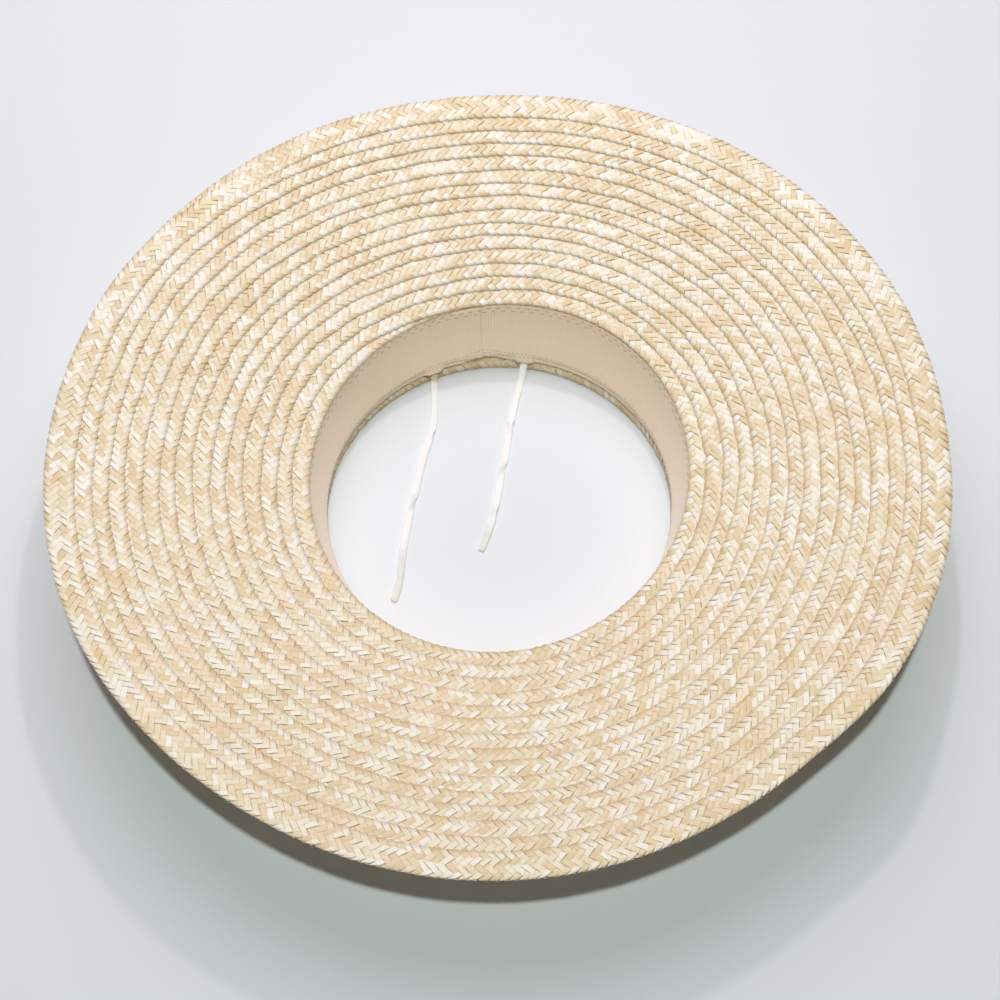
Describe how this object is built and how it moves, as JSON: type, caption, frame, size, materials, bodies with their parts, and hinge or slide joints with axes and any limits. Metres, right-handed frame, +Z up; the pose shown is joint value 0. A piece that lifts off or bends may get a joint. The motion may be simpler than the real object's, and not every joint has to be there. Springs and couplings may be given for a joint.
{
  "type": "wide-brim straw sun visor",
  "caption": "Crownless straw sun hat of sewn plaited braid: wide gently waved brim, short crown band, ribbon sweatband and drawstring tails; it stands upside down on the band.",
  "frame": {"origin": "on the surface that the visor stands on, under the middle of the brim", "axes": "+Z up, away from the surface and out of the head opening on the brim's side; +Y towards the back of the head, where the ribbon is joined; +X to the right in the picture"},
  "size_m": [0.4075, 0.4284, 0.0595],
  "materials": {
    "straw": "plaited natural wheat straw, satin",
    "ribbon": "beige ribbed ribbon, matte",
    "cord": "flat white braided cord, matte"
  },
  "bodies": {
    "root": {"brim": "straw", "crown_band": "straw", "sweatband": "ribbon", "drawstring_run": "cord", "drawstring_tail_left": "cord", "drawstring_tail_right": "cord"}
  },
  "joints": []
}
